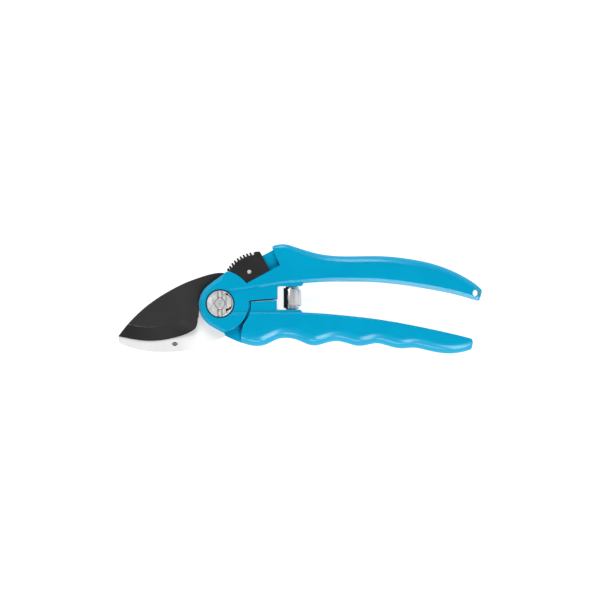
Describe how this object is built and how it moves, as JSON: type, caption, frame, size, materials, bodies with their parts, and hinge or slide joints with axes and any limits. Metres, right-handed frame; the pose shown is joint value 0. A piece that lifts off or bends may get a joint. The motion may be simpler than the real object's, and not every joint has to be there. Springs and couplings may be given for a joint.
{
  "type": "pruning shears",
  "caption": "Bypass pruning shears with cast azure handles, finger hollows, a black cutting blade, a hooked counter blade, a volute spring and a ridged thumb lock.",
  "frame": {"origin": "middle of the bottom of the whole object's box, lying on its back face", "axes": "+X from the blades to the ends of the handles, +Y to the upper handle and the lock, +Z out of the face with the pivot nut"},
  "size_m": [0.2056, 0.0618, 0.0155],
  "materials": {
    "lacquer": "semi-gloss azure lacquer on die-cast alloy",
    "coated_steel": "matt black low-friction coating",
    "satin_steel": "satin ground",
    "bright_steel": "bright plated, turned",
    "bolt_steel": "zinc plated",
    "grey_steel": "plain spring steel",
    "rivet_steel": "plain",
    "pin_steel": "plain",
    "spring_chrome": "bright plated strip",
    "bronze": "plain bearing bronze",
    "black_plastic": "moulded"
  },
  "bodies": {
    "upper_body": {"upper_handle": "lacquer", "counter_blade": "satin_steel", "pivot_bolt": "bolt_steel", "pivot_nut": "bright_steel", "nut_lock_tab": "grey_steel", "pivot_bush": "bronze", "blade_washer": "bronze", "bolt_washer": "bolt_steel", "counter_blade_rivets": "rivet_steel", "upper_spring_peg": "bolt_steel", "spring": "spring_chrome"},
    "lower_body": {"lower_handle": "lacquer", "cutting_blade": "coated_steel", "blade_rivets": "rivet_steel", "lower_spring_peg": "bolt_steel"},
    "lock_body": {"lock_slider": "black_plastic", "lock_bar": "bolt_steel", "lock_pin": "pin_steel", "lock_leaf_spring": "grey_steel"}
  },
  "joints": [
    {"name": "blade_pivot", "type": "hinge", "parent": "upper_body", "child": "lower_body", "pos_m": [-0.04493, -0.00261, 0.0075], "axis": [0, 0, -1], "range_deg": [0, 30], "deforming": ["spring"]},
    {"name": "lock_slide", "type": "slide", "parent": "upper_body", "child": "lock_body", "axis": [0.8796, 0.4756, 0], "range_m": [0, 0.0055]}
  ]
}
